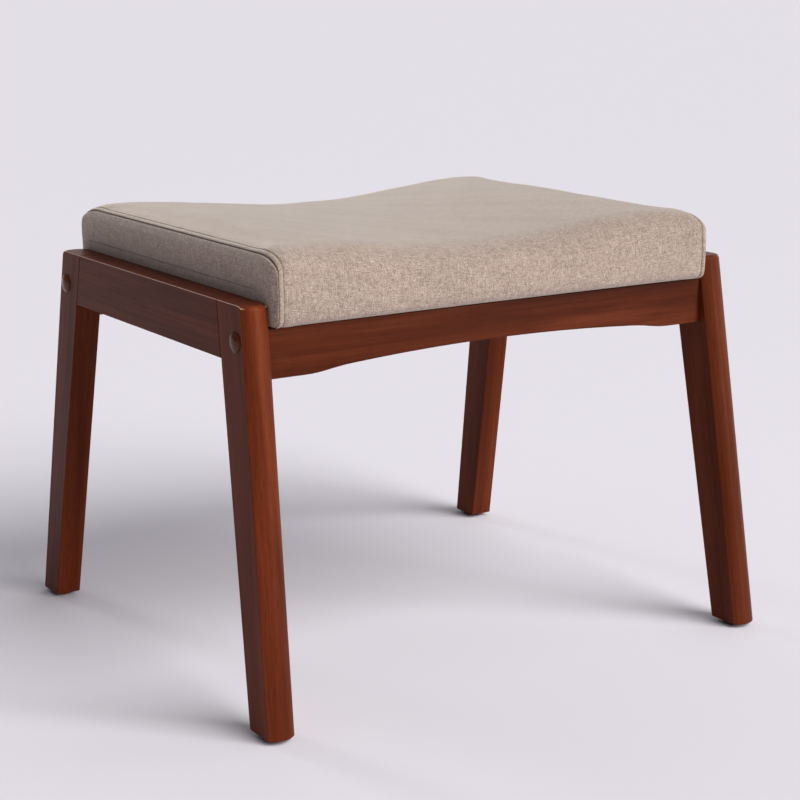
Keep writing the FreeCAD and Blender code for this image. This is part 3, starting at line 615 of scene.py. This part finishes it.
def weave():
    """The weave, on the cloth's own coordinates."""
    material, tree, shader = new_material("heathered_weave")
    cloth = add(tree, "ShaderNodeUVMap", uv_map="cloth")
    split = add(tree, "ShaderNodeSeparateXYZ")
    tree.links.new(cloth.outputs["UV"], split.inputs["Vector"])
    across = maths(tree, "DIVIDE", split.outputs["X"], YARN)
    along = maths(tree, "DIVIDE", split.outputs["Y"], YARN)
    humps = [maths(tree, "SINE", maths(tree, "MULTIPLY", maths(tree, "FRACT", place), math.pi))
             for place in (across, along)]
    column = maths(tree, "FLOOR", across)
    row = maths(tree, "FLOOR", along)
    parity = maths(tree, "MODULO", maths(tree, "ABSOLUTE", maths(tree, "ADD", column, row)), 2.0)

    def chance(first, second, seed):
        """An even random number for each pair of whole numbers."""
        pair = add(tree, "ShaderNodeCombineXYZ")
        tree.links.new(first, pair.inputs["X"])
        tree.links.new(second, pair.inputs["Y"])
        pair.inputs["Z"].default_value = seed
        dice = add(tree, "ShaderNodeTexWhiteNoise")
        tree.links.new(pair.outputs["Vector"], dice.inputs["Vector"])
        return dice.outputs["Value"]

    def stretch(yarn, place, shift):
        """The number of the heathered length that a place on a yarn lies in."""
        run = maths(tree, "MULTIPLY", place, HEATHER)
        return maths(tree, "FLOOR", maths(tree, "MULTIPLY_ADD", yarn, shift, run))

    warp = chance(column, stretch(column, row, 0.37), 3.0)
    weft = chance(stretch(row, column, 0.61), row, 8.0)
    fleck = chance(column, row, 5.0)
    lively = maths(tree, "ADD", maths(tree, "MULTIPLY", either(tree, parity, warp, weft), 0.55),
                   maths(tree, "MULTIPLY", fleck, 0.45))
    colour = ramp(tree, lively, BEIGES)
    cloud = add(tree, "ShaderNodeTexNoise", Scale=9.0, Detail=2.0)
    tree.links.new(cloth.outputs["UV"], cloud.inputs["Vector"])
    shade = ramp(tree, cloud.outputs["Fac"], [(0.3, grey(0.95)), (0.7, grey(1.03))])
    tree.links.new(mixed(tree, "MULTIPLY", 1.0, colour, shade), shader.inputs["Base Color"])
    shader.inputs["Roughness"].default_value = 0.92
    shader.inputs["Specular IOR Level"].default_value = 0.25
    shader.inputs["Sheen Weight"].default_value = 1.0
    shader.inputs["Sheen Roughness"].default_value = 0.38
    shader.inputs["Sheen Tint"].default_value = (1.0, 0.94, 0.87, 1)
    height = maths(tree, "MULTIPLY", maths(tree, "ADD", humps[0], humps[1]),
                   maths(tree, "MULTIPLY_ADD", fleck, 0.3, 0.35))
    relief(tree, shader, height, 0.55, 0.0003)
    return material


cover_cloth = weave()
for cover, stands_for in ((wrap_cover, ("cover_wrap_panel", "seat_foam")),
                          (left_cover, ("cover_left_end_panel",)),
                          (right_cover, ("cover_right_end_panel",))):
    cover.data.materials.append(cover_cloth)
    finer = cover.modifiers.new("finer", "SUBSURF")
    finer.levels = finer.render_levels = 1
    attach(cover, "root")
    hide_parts(*stands_for)

# Topstitching: a row of beige thread on the wrap panel beside each seam, 4 mm a stitch, sunk in the cloth.
# It ends where the cloth turns under.
STITCH_SIZES = {"Pitch": 0.004, "Stitch Length": 0.0029, "Thread Radius": 0.0004}
STITCH_START = 0.0005
THREAD = [(0.35, paint(120, 103, 91)), (0.7, paint(164, 147, 133))]


def stitch_tree(material):
    """Stitches along a line: small rounded lengths of thread, one every pitch."""
    group = bpy.data.node_groups.new("stitches", "GeometryNodeTree")
    sockets = group.interface
    sockets.new_socket("Geometry", in_out="INPUT", socket_type="NodeSocketGeometry")
    for label, start in STITCH_SIZES.items():
        sockets.new_socket(label, in_out="INPUT", socket_type="NodeSocketFloat").default_value = start
    sockets.new_socket("Geometry", in_out="OUTPUT", socket_type="NodeSocketGeometry")
    nodes, links = group.nodes, group.links
    given = nodes.new("NodeGroupInput")
    result = nodes.new("NodeGroupOutput")
    line = nodes.new("GeometryNodeMeshToCurve")
    spots = nodes.new("GeometryNodeCurveToPoints")
    spots.mode = "LENGTH"
    bead = nodes.new("GeometryNodeMeshUVSphere")
    bead.inputs["Segments"].default_value = 7
    bead.inputs["Rings"].default_value = 6
    bead.inputs["Radius"].default_value = 1.0
    shape = nodes.new("GeometryNodeTransform")
    size = nodes.new("ShaderNodeCombineXYZ")
    half = nodes.new("ShaderNodeMath")
    half.operation = "DIVIDE"
    half.inputs[1].default_value = 2.0
    place = nodes.new("GeometryNodeInstanceOnPoints")
    real = nodes.new("GeometryNodeRealizeInstances")
    finish = nodes.new("GeometryNodeSetMaterial")
    finish.inputs["Material"].default_value = material
    links.new(given.outputs["Geometry"], line.inputs["Mesh"])
    links.new(line.outputs["Curve"], spots.inputs["Curve"])
    links.new(given.outputs["Pitch"], spots.inputs["Length"])
    links.new(given.outputs["Stitch Length"], half.inputs[0])
    links.new(given.outputs["Thread Radius"], size.inputs["X"])
    links.new(given.outputs["Thread Radius"], size.inputs["Y"])
    links.new(half.outputs["Value"], size.inputs["Z"])
    links.new(bead.outputs["Mesh"], shape.inputs["Geometry"])
    links.new(size.outputs["Vector"], shape.inputs["Scale"])
    links.new(spots.outputs["Points"], place.inputs["Points"])
    links.new(spots.outputs["Rotation"], place.inputs["Rotation"])
    links.new(shape.outputs["Geometry"], place.inputs["Instance"])
    links.new(place.outputs["Instances"], real.inputs["Geometry"])
    links.new(real.outputs["Geometry"], finish.inputs["Geometry"])
    links.new(finish.outputs["Geometry"], result.inputs["Geometry"])
    return group


thread_finish = speckled("beige_thread", THREAD, specks_per_metre=2600.0, detail=2.0, roughness=0.8,
                         strength=0.4, depth=0.0001)
stitch_points = []
stitch_edges = []
for row in stitch_rows:
    kept = row[row[:, 2] > UNDERSIDE + STITCH_START]
    start = len(stitch_points)
    stitch_points += kept.tolist()
    stitch_edges += [(start + step, start + step + 1) for step in range(len(kept) - 1)]
lines_mesh = bpy.data.meshes.new("stitch_lines")
lines_mesh.from_pydata(stitch_points, stitch_edges, [])
stitch_lines = link("stitch_lines", lines_mesh)
sewing = stitch_lines.modifiers.new("sewing", "NODES")
sewing.node_group = stitch_tree(thread_finish)
for item in sewing.node_group.interface.items_tree:
    if item.name in STITCH_SIZES:
        sewing[item.identifier] = STITCH_SIZES[item.name]
evaluated = stitch_lines.evaluated_get(bpy.context.evaluated_depsgraph_get())
topstitching = link("topstitching", bpy.data.meshes.new_from_object(evaluated))
bpy.data.objects.remove(stitch_lines)
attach(topstitching, "root")

# Dust cover: a cut sheet of black spun-bonded cloth, stretched over the seat board's underside. Staples hold
# it round the edge, where it puckers a little between them.
cover_low, cover_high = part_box("dust_cover")
DUST_THICK = 0.0004
DUST_GAP = 0.00001
PUCKER = 0.00004
PUCKER_RUN = 0.02
SIDE_STAPLES = 0.040
END_STAPLES = 0.045
DUST_GRID = (181, 127)
DUST_BLACK = [(0.35, paint(20, 20, 21)), (0.7, paint(44, 43, 44))]
dust_finish = speckled("black_dust_cloth", DUST_BLACK, specks_per_metre=1100.0, detail=5.0, roughness=0.9,
                       strength=0.5, depth=0.0001)
dust_x = np.linspace(cover_low[0], cover_high[0], DUST_GRID[0])
dust_y = np.linspace(cover_low[1], cover_high[1], DUST_GRID[1])
dust_points = np.stack(np.broadcast_arrays(dust_x[:, None], dust_y[None, :],
                                           np.full((1, 1), cover_high[2] - DUST_GAP)), axis=2)
edge_run = np.minimum(np.minimum(dust_x - dust_x[0], dust_x[-1] - dust_x)[:, None],
                      np.minimum(dust_y - dust_y[0], dust_y[-1] - dust_y)[None, :])
pucker = (np.cos(dust_x * 2 * math.pi / SIDE_STAPLES)[:, None]
          + np.cos(dust_y * 2 * math.pi / END_STAPLES)[None, :])
dust_points[:, :, 2] -= PUCKER * (1 + 0.5 * pucker) * np.exp(-edge_run / PUCKER_RUN)
dust_sheet = link("dust_cloth", grid_mesh("dust_cloth", dust_points, dust_points[:, :, :2]))
dust_sheet.data.materials.append(dust_finish)
thick = dust_sheet.modifiers.new("thick", "SOLIDIFY")
thick.thickness = DUST_THICK
thick.offset = 1.0 if dust_sheet.data.polygons[0].normal.z < 0 else -1.0
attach(dust_sheet, "root")
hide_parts("dust_cover")

# Floor: a plain pale sheet under the stool, dull, so that it shows no reflections. It is so wide that its far
# edge lies at the horizon.
FLOOR_REACH = 400
floor_corners = [(x * FLOOR_REACH, y * FLOOR_REACH, 0) for x, y in ((-1, -1), (1, -1), (1, 1), (-1, 1))]
floor = link("floor", bpy.data.meshes.new("floor"))
floor.data.from_pydata(floor_corners, [], [(0, 1, 2, 3)])
floor_finish, _, floor_shader = new_material("pale_floor")
floor_shader.inputs["Base Color"].default_value = paint(226, 223, 231)
floor_shader.inputs["Roughness"].default_value = 0.9
floor_shader.inputs["Specular IOR Level"].default_value = 0.1
floor.data.materials.append(floor_finish)


# Lamps: a broad soft key light from the front right, a softer one from the right end, a faint one from the
# rear left, and a low strip at the front right whose reflection gives the wood its sheen.
def lit(name, kind, energy):
    """A lamp of a kind, in the scene."""
    data = bpy.data.lights.new(name, kind)
    data.energy = energy
    light = bpy.data.objects.new(name, data)
    bpy.context.collection.objects.link(light)
    return data, light


def sun(name, towards, spread, strength, colour=(1, 1, 1)):
    """An even light from far away: it lights the whole floor alike and throws soft shadows."""
    data, light = lit(name, "SUN", strength * math.pi)
    data.angle = math.radians(spread)
    data.color = colour
    light.rotation_euler = Vector(towards).to_track_quat("Z", "Y").to_euler()


def panel_lamp(name, place, aim, width, height, power):
    """A flat panel of light that faces its aim."""
    data, light = lit(name, "AREA", power)
    data.shape = "RECTANGLE"
    data.size = width
    data.size_y = height
    light.location = place
    light.rotation_euler = (Vector(aim) - Vector(place)).to_track_quat("-Z", "Y").to_euler()


sun("key", towards=(0.331, -0.709, 0.622), spread=46, strength=1.07, colour=(1.0, 0.985, 0.96))
sun("side", towards=(0.82, 0.38, 0.42), spread=90, strength=0.29)
sun("rear", towards=(-0.21, 0.82, 0.51), spread=12, strength=0.10)
panel_lamp("strip", place=(1.55, -2.5, 0.35), aim=(0, 0, 0.25), width=0.4, height=1.3, power=20)

# Surroundings: an even, faintly violet fill from all sides, which keeps the shadows pale. The colours are
# shown as they are written.
world = bpy.data.worlds.new("studio")
world.use_nodes = True
fill = world.node_tree.nodes["Background"]
fill.inputs["Color"].default_value = (0.97, 0.94, 1.0, 1)
fill.inputs["Strength"].default_value = 0.18
bpy.context.scene.world = world
bpy.context.scene.view_settings.view_transform = "Standard"
